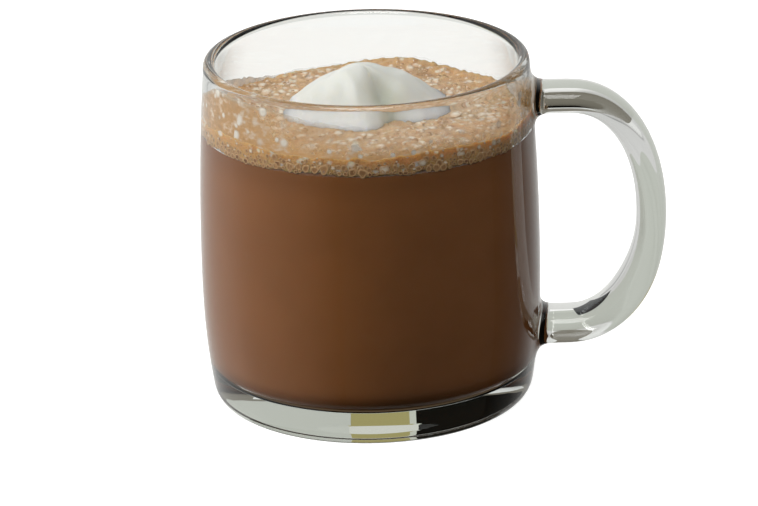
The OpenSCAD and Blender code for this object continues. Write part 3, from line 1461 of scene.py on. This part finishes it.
@dataclass
class CreamDollop:
    """The soft peak of cream, with a ridge down its front and a hollow beside it."""

    finish: WhippedCream = field(default_factory=WhippedCream)
    sides: int = 96
    can_height: float = 4.0 * MM
    lean: float = 1.7 * MM
    slope_power: float = 1.15
    # Folds of the skin: heights, middles and spreads in millimetres
    hollow_depth: float = 3.0
    hollow_spot: Pair = (4.8, -8.2)
    hollow_spread: Pair = (4.0, 4.8)
    crest_height: float = 0.9
    crest_spot: Pair = (-3.6, -9.0)
    crest_spread: Pair = (2.0, 6.5)
    shoulder_height: float = 0.6
    shoulder_spot: Pair = (10.0, -6.0)
    shoulder_spread: Pair = (3.4, 3.4)
    flank_height: float = 2.0
    flank_spots: tuple[Pair, Pair] = ((12.0, 4.5), (-13.5, 4.5))
    flank_spread: Pair = (5.5, 6.0)
    tip_depth: float = 0.45
    # The outline's swell at the back, its lobes and its raggedness, in millimetres
    back_swell: float = 2.4
    edge_lobes: tuple[Lobe, ...] = (
        (1.3, 152.0, 32.0), (1.3, 28.0, 32.0), (-2.2, 292.0, 14.0), (1.6, 316.0, 12.0))
    ragged: float = 0.7
    name: str = "cream_dollop"

    def relief(self, share: float, angle: float) -> float:
        """Height of the folds.

        Args:
            share: The place's share of the outline's radius.
            angle: Its angle in degrees.

        Returns:
            The height over the plain cone.
        """
        spot = polar(share * TOP.cream_radius, angle, 0.0) / MM
        hollow = hill(spot, self.hollow_spot, self.hollow_spread)
        crest_x, crest_y = self.crest_spot
        crest = hill(spot, (crest_x - 0.15 * (spot.y + 8.0), crest_y), self.crest_spread)
        shoulder = hill(spot, self.shoulder_spot, self.shoulder_spread)
        right, left = (hill(spot, middle, self.flank_spread) for middle in self.flank_spots)
        flanks = self.flank_height * right + self.flank_height * left
        tip = math.exp(-((share / 0.25) ** 2))
        folds = self.crest_height * crest + self.shoulder_height * shoulder + flanks
        folds -= self.hollow_depth * hollow
        return MM * (folds * (1.0 - share**6) - self.tip_depth * tip)

    def edge(self, share: float, angle: float) -> float:
        """Radius of the half-melted outline.

        Args:
            share: The place's share of the radius, 1 at the edge.
            angle: Its angle in degrees.

        Returns:
            The outline's radius, fuller at the back and drawn in at the front.
        """
        ragged = noise.noise(polar(1.0, angle, 0.0) * 7)
        swell = self.back_swell * math.sin(math.radians(angle)) + lobes(angle, *self.edge_lobes)
        return TOP.cream_edge(angle) + MM * (self.ragged * ragged * share**4 + swell * share**2)

    def shape(self, spot: Vector) -> Vector:
        """Lays a point of the plain can onto the peak, or into the dish below it.

        Args:
            spot: The point on the can.

        Returns:
            Its place on the cream.
        """
        angle = azimuth(spot)
        share = off_axis(spot) / TOP.cream_radius
        lift = spot.z / self.can_height
        edge = self.edge(share, angle)
        ground = TOP.foam(share * edge, angle)
        dish = ground - TOP.sink * (1.0 - share * share) - 0.4 * MM
        skin = ground + TOP.cream_height * TOP.cone(share) ** self.slope_power + self.relief(share, angle)
        spot_mm = polar(share * edge, angle, 0.0) / MM
        soft = noise.noise(spot_mm * 0.25 + Vector((5, 1, 9))) * 0.35 * MM * min(1.0, 3 * share)
        skin += soft + 0.35 * MM * (1.0 - share**4) * min(1.0, 2 * share)
        place = polar(share * edge, angle, dish + (skin - dish) * min(max(lift, 0.0), 1.0))
        place.x -= self.lean * (1.0 - share) ** 1.5
        return place

    def build(self) -> Piece:
        """Builds and dresses the cream.

        Returns:
            The finished piece.
        """
        high, edge = self.can_height, TOP.cream_radius
        points = [(0.5 * MM, high)] + [(r, high) for r in span(0.5 * MM, edge, 12)]
        points += [(edge, 0.0), (edge * 0.7, 0.0), (edge * 0.35, 0.0), (0.5 * MM, 0.0)]
        piece = turned_piece(self.name, self.sides, points)
        close_up(piece, lambda spot: spot.z > high / 2 and off_axis(spot) < 0.8 * MM)
        move_points(piece, self.shape)
        # The rim attribute here marks the hollow, where the finish paints shade
        mark_points(piece, RIM, lambda spot: hill(spot / MM, self.hollow_spot, (4.2, 5.0)))
        smooth(piece)
        dress(piece, self.finish.material())
        return show_as(piece, ["cream"])


# ---- Bubbles, flecks and the film of milk ----


@dataclass
class Spot:
    """Where one small bubble goes: its place, how it faces, its size and its tone."""

    middle: Vector
    facing: Vector
    size: Vector
    tone: float = 0.0
    seed: float = 0.0


@dataclass
class BubbleKind:
    """One kind of small bubble: modelled once, then copied to many places as one piece."""

    name: str
    finish: BubbleSkin
    profile: Outline
    sides: int = 14
    ragged: float = 0.0

    def model(self) -> Piece:
        """Models the bubble.

        Returns:
            The bubble, 1 m in radius, with the nearness to its rim as an attribute.
        """
        outline = list(self.profile) + [(0.04, self.profile[-1][1])]
        model = turned_piece(self.name, self.sides, outline)
        close_with_pole()
        face_outwards()
        done()
        mark_points(model, RIM, lambda spot: min(off_axis(spot), 1.0))
        return model

    def copy(self, model: Piece, spot: Spot) -> Piece:
        """Copies the bubble to one place, with its own mesh.

        Args:
            model: The bubble to copy.
            spot: Where the copy goes.

        Returns:
            The copy.
        """
        piece = model.copy()
        piece.data = model.data.copy()
        bpy.context.collection.objects.link(piece)
        side = Vector((0, 0, 1)).cross(spot.facing)
        side = side.normalized() if side.length > 0.01 else Vector((1, 0, 0))
        up = spot.facing.cross(side)
        for point in piece.data.vertices:
            place = point.co
            swell = 1.0
            if self.ragged:
                around = Vector((place.x, place.y, 0.0)).normalized() * 1.3
                swell += self.ragged * noise.noise(around + Vector((spot.seed, 0.0, 0.0)))
            x, y = place.x * spot.size.x * swell, place.y * spot.size.y * swell
            point.co = spot.middle + side * x + up * y + spot.facing * (place.z * spot.size.z)
        mark_points(piece, TONE, lambda _: spot.tone)
        return piece

    def build(self, spots: Iterable[Spot]) -> Piece:
        """Copies the bubble to all its places and joins the copies.

        Args:
            spots: The places.

        Returns:
            The finished piece.
        """
        model = self.model()
        copies = [self.copy(model, spot) for spot in spots]
        bpy.data.objects.remove(model)
        deselect_all()
        for piece in copies:
            piece.select_set(True)
        bpy.context.view_layer.objects.active = copies[0]
        bpy.ops.object.join()
        piece = bpy.context.active_object
        piece.name = self.name
        piece.data.name = self.name
        smooth(piece)
        dress(piece, self.finish.material())
        return show_as(piece)


# A bubble's radius and height from its foot to near its middle
RINGED: Outline = [
    (1.0, -0.9), (0.98, 0.1), (0.88, 0.75), (0.76, 1.0), (0.62, 0.8), (0.42, 0.35), (0.2, 0.2)]
DOMED: Outline = [(1.0, -0.8), (0.97, 0.0), (0.85, 0.42), (0.62, 0.75), (0.33, 0.94)]
FLECK_EDGE = Fade(0.15, 0.95)


@dataclass(frozen=True)
class BubbleRow:
    """A row of bubbles round the glass.

    It lies so high over the foam's lower edge, between a smallest and a largest radius, with
    middles so dark from 0 to 1, a mean gap, and a stray up and down.
    """

    low: float
    sizes: Pair
    tone: float
    gap: float
    stray: float


@dataclass
class WallBubbles:
    """Bubbles against the glass: rows along the foam's lower edge, and pale ones above them, partly paler
    foam and partly painted glints.
    """

    foam: FoamLayer
    rows: tuple[BubbleRow, ...] = (
        BubbleRow(0.45 * MM, (0.35 * MM, 1.25 * MM), 1.0, 0.16 * MM, 0.5 * MM),
        BubbleRow(1.5 * MM, (0.3 * MM, 1.05 * MM), 0.7, 0.4 * MM, 1.2 * MM),
        BubbleRow(2.5 * MM, (0.3 * MM, 0.9 * MM), 0.3, 1.1 * MM, 1.4 * MM))
    seed: int = 11
    flecks: int = 120
    fleck_low: float = 1.2 * MM
    depth: float = 0.07 * MM
    sunk: float = 0.02 * MM

    def on_wall(self, angle: float, z: float, size: float, tone: float, tall: float) -> Spot:
        """A place on the glass.

        Args:
            angle: Its angle in degrees.
            z: Its height.
            size: The bubble's radius.
            tone: How dark its middle is.
            tall: Its height for its width.

        Returns:
            The place.
        """
        facing = polar(1.0, angle, 0.0)
        reach = FORM.cavity(z) + self.foam.bite - self.sunk
        return Spot(polar(reach, angle, z), facing, Vector((size, size * tall, self.depth)), tone)

    def row(self, draw: random.Random, kind: BubbleRow) -> list[Spot]:
        """Places for a row of bubbles all round.

        Args:
            draw: Random numbers.
            kind: The row.

        Returns:
            The places.
        """
        spots: list[Spot] = []
        angle = 0.0
        while angle < 358.0:
            size = kind.sizes[0] + (kind.sizes[1] - kind.sizes[0]) * draw.random() ** 1.6
            angle += math.degrees(size / FORM.cavity(TOP.liquid_z))
            z = self.foam.lower_edge(angle) + kind.low + size * 0.45
            z += kind.stray * (draw.random() - 0.5)
            z = min(z, self.foam.wall_top(angle) - 1.1 * size)
            tall = 0.85 + 0.3 * draw.random()
            spots.append(self.on_wall(angle, z, size, kind.tone * draw.random() ** 2.2, tall))
            spots[-1].seed = 100.0 * draw.random()
            step = size * 0.92 + kind.gap * draw.random() * 2.0
            angle += math.degrees(step / FORM.cavity(TOP.liquid_z))
        return spots

    def build(self) -> list[Piece]:
        """Builds the bubbles on the glass.

        Returns:
            The piece of ringed bubbles and the piece of pale flecks.
        """
        draw = random.Random(self.seed)
        ringed = BubbleKind("foam_rings", BubbleSkin(
            "bubble_rings", core=(0.43, 0.225, 0.095), rim=(0.62, 0.375, 0.185),
            dark=(0.15, 0.062, 0.02), roughness=0.6), RINGED, 18, 0.4)
        rings = ringed.build([spot for kind in self.rows for spot in self.row(draw, kind)])
        # The pale flecks are partly paler foam and partly painted glints off bubbles at the glass
        pale = BubbleKind("foam_flecks", BubbleSkin(
            "bubble_flecks", core=(0.90, 0.78, 0.62), rim=(0.56, 0.34, 0.17),
            edge=FLECK_EDGE, roughness=0.6), DOMED, 12, 0.5)
        return [rings, pale.build([self.fleck(draw) for _ in range(self.flecks)])]

    def fleck(self, draw: random.Random) -> Spot:
        """A place for a pale fleck, anywhere on the foam's face against the glass.

        Args:
            draw: Random numbers.

        Returns:
            The place.
        """
        angle, height = 360.0 * draw.random(), draw.random()
        size = (0.3 + 1.15 * draw.random() ** 2.4) * MM
        low = self.foam.lower_edge(angle) + self.fleck_low
        z = low + (self.foam.wall_top(angle) - size - low) * height
        spot = self.on_wall(angle, z, size, 0.0, 0.6 + 0.4 * draw.random())
        spot.seed = 100.0 * draw.random()
        return spot


@dataclass
class TopBubbles:
    """Small bubbles and pale flecks on the foam's surface, most of them away from the cream."""

    foam: FoamLayer
    seed: int = 23
    bubbles: int = 240
    flecks: int = 420
    from_glass: float = 0.9 * MM
    from_cream: float = 0.6 * MM

    def on_top(self, draw: random.Random, size: Vector, sunk: float) -> Spot:
        """A free place on the foam.

        Args:
            draw: Random numbers.
            size: Radii and height of the bubble.
            sunk: How far its middle lies under the surface.

        Returns:
            The place.
        """
        while True:
            angle = 360.0 * draw.random()
            radius = FORM.cavity(TOP.foam_z) * math.sqrt(draw.random())
            free = FORM.cavity(TOP.foam_z) - size.x - self.from_glass
            if TOP.cream_edge(angle) + self.from_cream < radius < free:
                break
        flat = polar(radius, angle, 0.0)
        z = TOP.foam(radius, angle) + self.foam.froth(flat)
        return Spot(polar(radius, angle, z - sunk), Vector((0, 0, 1)), size, 0.0, 100 * draw.random())

    def build(self) -> list[Piece]:
        """Builds the bubbles and the flecks.

        Returns:
            The piece of bubbles and the piece of flecks.
        """
        draw = random.Random(self.seed)
        round_ones = []
        for _ in range(self.bubbles):
            size = (0.2 + 0.75 * draw.random() ** 2.5) * MM
            round_ones.append(self.on_top(draw, Vector((size, size, size * 0.75)), size * 0.2))
        domes = BubbleKind("foam_bubbles", BubbleSkin(
            "bubble_domes", core=(0.46, 0.27, 0.14), rim=(0.66, 0.46, 0.28),
            roughness=0.08), DOMED, 14)
        patches = []
        for _ in range(self.flecks):
            size = (0.3 + 1.2 * draw.random() ** 2.4) * MM
            stretch = Vector((size, size * (1.1 + 0.7 * draw.random()), 0.25 * MM))
            patches.append(self.on_top(draw, stretch, 0.05 * MM))
        pale = BubbleKind("foam_top_flecks", BubbleSkin(
            "bubble_top_flecks", core=(0.92, 0.82, 0.68), rim=(0.68, 0.45, 0.26),
            edge=FLECK_EDGE, roughness=0.3), DOMED, 12, 0.5)
        return [domes.build(round_ones), pale.build(patches)]


@dataclass
class FilmRing:
    """The film that the foam left on the glass: pale at the back left, tan at the left and front."""

    foam: FoamLayer
    finish: MilkFilm = field(default_factory=MilkFilm)
    sides: int = 240
    can_height: float = 4.0 * MM
    thickness: float = 0.2 * MM
    under_foam: float = 1.0 * MM
    patch_angle: float = 149.0
    patch_spread: float = 15.0
    patch_rise: float = 1.4 * MM
    patch_cover: Lobe = (0.95, 149.0, 20.0)
    side_rise: float = 11.0 * MM
    side_lobes: tuple[Lobe, ...] = ((1.0, 212.0, 36.0), (1.0, 335.0, 30.0), (0.6, 270.0, 40.0))
    side_cover: tuple[Lobe, ...] = ((0.9, 203.0, 32.0), (0.45, 352.0, 20.0))
    front_cover: Lobe = (0.75, 278.0, 62.0)
    least_rise: float = 0.3 * MM
    least_cover: float = 0.04
    from_lip: float = 3.2 * MM
    name: str = "milk_film"

    def top(self, angle: float) -> float:
        """Height of the film's upper edge.

        Args:
            angle: The place's angle in degrees.

        Returns:
            The height, which stays below the lip.
        """
        ripple = 0.3 * MM * noise.noise(Vector((*polar(6.0, angle, 0.0).xy, 2.0)))
        patch = self.patch_rise * math.exp(-((abs(angle - self.patch_angle) / self.patch_spread) ** 3))
        side = min(lobes(angle, *self.side_lobes), 1.0)
        top = self.foam.wall_top(angle) + self.least_rise + patch + self.side_rise * side + ripple
        return min(top, FORM.height - self.from_lip)

    def cover(self, angle: float, share: float) -> float:
        """How much the film hides of what is behind it.

        Args:
            angle: The place's angle in degrees.
            share: Its share of the film's height.

        Returns:
            The share that it hides.
        """
        patch = lobes(angle, self.patch_cover)
        side = lobes(angle, *self.side_cover)
        front = lobes(angle, self.front_cover) * max(0.0, 1.0 - share) ** 2.2
        return min(patch + side + front + self.least_cover, 1.0) * min(1.0, share / 0.06)

    def build(self) -> Piece:
        """Builds and dresses the film.

        Returns:
            The finished piece.
        """
        high, outer = self.can_height, FORM.cavity(TOP.foam_z)
        inner = outer - self.thickness
        points = [(outer, 0.0)] + [(outer, z) for z in span(0.0, high, 14)]
        points += [(inner, high)] + [(inner, z) for z in span(high, 0.0, 14)]
        piece = turned_piece(self.name, self.sides, points)
        bpy.ops.mesh.select_mode(type="EDGE")
        bpy.ops.mesh.select_all(action="DESELECT")
        bpy.ops.mesh.select_non_manifold()
        bpy.ops.mesh.bridge_edge_loops()
        face_outwards()
        done()
        mark_points(piece, RIM, lambda spot: spot.z / high)
        mark_points(piece, TONE, lambda spot: self.cover(azimuth(spot), spot.z / high))

        def lay(spot: Vector) -> Vector:
            """Lays a point of the plain tube onto the glass.

            Args:
                spot: The point on the tube.

            Returns:
                Its place on the glass.
            """
            angle = azimuth(spot)
            low = self.foam.wall_top(angle) - self.under_foam
            z = low + (self.top(angle) - low) * spot.z / high
            outside = off_axis(spot) > outer - self.thickness / 2
            return polar(FORM.cavity(z) + (0.05 if outside else -0.12) * MM, angle, z)

        move_points(piece, lay)
        smooth(piece)
        dress(piece, self.finish.material())
        return show_as(piece)


# ---- Stage, lights and camera ----


def level(glow: Glow, angle: float, start: float) -> float:
    """A card's brightness at an angle.

    Args:
        glow: Angles in order, each with a brightness.
        angle: The angle in degrees.
        start: The card's first angle.

    Returns:
        The brightness between the nearest two.
    """
    while angle < start - 0.01:
        angle += 360.0
    for (a, low), (b, high) in zip(glow, glow[1:]):
        if angle <= b:
            share = min(max((angle - a) / (b - a), 0.0), 1.0)
            return low + (high - low) * share
    return glow[-1][1]


@dataclass
class Studio:
    """A pale floor, soft lights, the camera, and cards that only the glass shows.

    The cards seen through the glass and the bright field that it mirrors are told apart by the
    kind of ray, so that neither leaves hard lines in the other.
    """

    target: tuple[float, float, float] = (2.13 * MM, 0.0, 38.15 * MM)
    distance: float = 1.4
    elevation: float = 19.9
    lens: float = 255.5
    sensor: float = 36.0
    roll: float = -1.38
    dim: Colour = (1.0, 0.93, 0.76)
    dim_strength: float = 0.05
    through_strength: float = 0.2
    mirrored: str = "card_bright_field"
    floor_radius: float = 6.0
    floor_z: float = -0.2 * MM
    card_sides: int = 96
    card_low: float = -60 * MM
    card_high: float = 44 * MM

    def camera(self) -> None:
        """Adds the camera, which looks at the mug from the front and a little above."""
        tip = math.radians(self.elevation)
        away = Vector((0.0, -math.cos(tip), math.sin(tip)))
        deselect_all()
        bpy.ops.object.camera_add(location=Vector(self.target) + away * self.distance)
        camera = bpy.context.active_object
        camera.name = "camera"
        camera.data.lens = self.lens
        camera.data.sensor_width = self.sensor
        camera.rotation_mode = "QUATERNION"
        look = (-away).to_track_quat("-Z", "Y")
        camera.rotation_quaternion = look @ Quaternion((0, 0, 1), math.radians(self.roll))
        bpy.context.scene.camera = camera

    def emitter(self, name: str, colour: Colour) -> bpy.types.Material:
        """A material that shines as the card's own attribute says."""
        n = Nodes(name)
        return n.finish(n.add("Emission", Color=colour, Strength=n.attribute(RIM)).outputs[0])

    def disc(self, name: str, radius: float, z: float) -> Piece:
        """Adds a round level disc.

        Args:
            name: Its name.
            radius: Its radius.
            z: Its height.

        Returns:
            The disc.
        """
        deselect_all()
        bpy.ops.mesh.primitive_circle_add(
            vertices=self.card_sides, radius=radius, fill_type="NGON", location=(0, 0, z)
        )
        return active_piece(name)

    def floor(self) -> None:
        """Adds the pale floor."""
        floor = self.disc("floor", self.floor_radius, self.floor_z)
        n = Nodes("pale_floor")
        lit = n.add("BsdfDiffuse", Color=(0.85, 0.85, 0.85)).outputs[0]
        glow = n.add("Emission", Color=(1.0, 1.0, 1.0), Strength=0.72).outputs[0]
        dress(floor, n.finish(n.fill("AddShader", lit, glow).outputs[0]))
        floor.visible_diffuse = False
        floor.visible_transmission = False
        floor.visible_glossy = False

    def card(self, name: str, colour: Colour, radius: float, turn: Pair, rise: Pair,
             glow: Glow = ((0.0, 1.0),), lean: float = 0.0) -> None:
        """Adds an upright curved card round the mug that only the glass shows.

        Args:
            name: The card's name.
            colour: Its colour.
            radius: Its distance from the mug's axis.
            turn: Its first and last angle in degrees, 90 behind the mug.
            rise: Heights of its lower and upper edge.
            glow: Its brightness at some angles, in order, with even steps between them.
            lean: How much nearer to the axis its upper edge is.
        """
        start, end = turn
        low, high = rise
        deselect_all()
        steps = max(2, round(2 * (end - start)))
        bpy.ops.mesh.primitive_grid_add(x_subdivisions=steps, y_subdivisions=1, size=2.0)
        card = active_piece(name)

        def bend(spot: Vector) -> Vector:
            """Bends a point of the flat card round the mug.

            Args:
                spot: The point on the flat card.

            Returns:
                Its place on the bent card.
            """
            angle = start + (end - start) * (spot.x + 1.0) / 2.0
            share = (spot.y + 1.0) / 2.0
            return polar(radius - lean * share, angle, low + (high - low) * share)

        move_points(card, bend)
        mark_points(card, RIM, lambda spot: level(glow, azimuth(spot), start))
        self.for_glass(card, colour)

    def for_glass(self, card: Piece, colour: Colour) -> None:
        """Lights a card, and lets only the glass show it, through itself or as a mirror.

        Args:
            card: The card.
            colour: Its colour.
        """
        dress(card, self.emitter(card.name, colour))
        card.visible_camera = False
        card.visible_glossy = card.name == self.mirrored
        card.visible_transmission = card.name != self.mirrored
        card.visible_diffuse = False
        card.visible_shadow = False

    def under_card(self, name: str, colour: Colour, radius: float, z: float) -> None:
        """Adds a round level card below the mug that only the glass shows.

        Args:
            name: The card's name.
            colour: Its colour.
            radius: Its radius.
            z: Its height.
        """
        card = self.disc(name, radius, z)
        mark_points(card, RIM, lambda _: 1.0)
        self.for_glass(card, colour)

    def cards(self) -> None:
        """Adds the cards: the surroundings first, then the small ones that the base shows."""
        mirrored = ((0, 0.0), (28, 0.12), (55, 0.55), (84, 0.9), (96, 0.9), (137, 0.8), (164, 0.8),
                    (184, 0.55), (218, 0.3), (250, 0.0))
        self.card(self.mirrored, (1.0, 1.0, 0.985), 0.9, (0, 250), (-0.8, 1.3), mirrored)
        through = ((0, 0.7), (55, 0.58), (60, 0.58), (62, 0.2), (64, 0.6), (79, 0.66), (84, 1.0),
                   (96, 1.0), (101, 0.68), (116, 0.66), (118, 0.2), (120, 0.66), (137, 0.8), (360, 0.8))
        self.card("card_surround", (1.0, 1.0, 0.985), 1.0, (0, 360), (-0.8, 0.30), through)
        self.under_card("card_under", (0.7, 0.7, 0.68), 1.0, -0.8)
        self.under_card("card_under_mug", (0.085, 0.055, 0.03), 36 * MM, -0.6 * MM)
        self.card("card_shield", (0.80, 0.81, 0.79), 0.120, (64, 137), (0.0465, 0.071), lean=0.068)
        low, high = self.card_low, self.card_high
        white = (0.62, 0.63, 0.57)
        for name, colour, radius, turn, rise in (
            ("dark", (0.004, 0.004, 0.003), 0.120, (95.5, 134), (low, high)),
            ("pale_edge", (0.55, 0.57, 0.50), 0.121, (94.6, 95.6), (low, high)),
            ("yellow", (0.36, 0.325, 0.14), 0.122, (87, 94.7), (low, high)),
            ("white_low", white, 0.119, (87, 95.5), (low, -0.010)),
            ("white_high", white, 0.119, (87, 95.5), (0.0405, high)),
            ("grey", (0.52, 0.54, 0.49), 0.121, (46, 87), (low, high)),
            ("streak", (0.03, 0.033, 0.035), 0.117, (40, 60), (-0.070, -0.020)),
        ):
            self.card(f"card_{name}", colour, radius, turn, rise)

    def lamp(self, name: str, spot: tuple[float, float, float], size: Pair, power: float) -> None:
        """Adds a soft light that faces the mug.

        Args:
            name: The light's name.
            spot: Its place.
            size: Width and height.
            power: Its power in watts.
        """
        deselect_all()
        bpy.ops.object.light_add(type="AREA", location=spot)
        lamp = bpy.context.active_object
        lamp.name = name
        lamp.data.shape = "RECTANGLE"
        lamp.data.size, lamp.data.size_y = size
        lamp.data.energy = power
        lamp.visible_glossy = name == "top"
        lamp.visible_transmission = False
        aim = Vector(self.target) - Vector(spot)
        lamp.rotation_euler = aim.to_track_quat("-Z", "Y").to_euler()

    def lamps(self) -> None:
        """Adds the lights."""
        self.lamp("key_left", (-1.15, -0.15, 0.45), (1.1, 0.9), 15.0)
        self.lamp("top", (-0.1, -0.42, 1.15), (0.7, 0.7), 7.6)
        self.lamp("fill_front", (0.1, -1.5, 0.55), (1.2, 0.8), 2.0)
        self.lamp("fill_right", (1.15, 0.1, 0.4), (0.9, 0.8), 4.0)
        self.lamp("fill_back", (0.6, 1.3, 0.5), (1.1, 0.8), 7.0)

    def world(self) -> None:
        """Sets a white background for the camera, and dim, even surroundings for other rays."""
        world = bpy.data.worlds.new("studio")
        bpy.context.scene.world = world
        world.use_nodes = True
        tree = world.node_tree
        tree.nodes.clear()
        output = tree.nodes.new("ShaderNodeOutputWorld")
        seen = tree.nodes.new("ShaderNodeLightPath")
        shown = tree.nodes.new("ShaderNodeMixShader")
        through = tree.nodes.new("ShaderNodeMixShader")
        for mix, share, dim, bright in (
            (through, "Is Transmission Ray", (self.dim, self.dim_strength),
             (self.dim, self.through_strength)),
            (shown, "Is Camera Ray", None, ((1.0, 1.0, 1.0), 1.0)),
        ):
            tree.links.new(seen.outputs[share], mix.inputs[0])
            for place, look in ((1, dim), (2, bright)):
                if look is None:
                    tree.links.new(through.outputs[0], mix.inputs[place])
                    continue
                shine = tree.nodes.new("ShaderNodeBackground")
                shine.inputs["Color"].default_value = (*look[0], 1.0)
                shine.inputs["Strength"].default_value = look[1]
                tree.links.new(shine.outputs[0], mix.inputs[place])
        tree.links.new(shown.outputs[0], output.inputs["Surface"])

    def build(self) -> None:
        """Builds the whole stage, and sets how its picture is taken."""
        self.camera()
        self.floor()
        self.cards()
        self.lamps()
        self.world()
        scene = bpy.context.scene
        scene.view_settings.view_transform = "Standard"
        scene.cycles.caustics_reflective = False
        scene.cycles.caustics_refractive = False


def main() -> None:
    """Builds the stage and every piece, in order."""
    logging.basicConfig(level=logging.INFO, format="%(name)s %(message)s")
    Studio().build()
    GlassMug().build()
    Drink().build()
    foam = FoamLayer()
    foam.build()
    WallBubbles(foam).build()
    TopBubbles(foam).build()
    FilmRing(foam).build()
    CreamDollop().build()


if __name__ == "__main__":
    main()
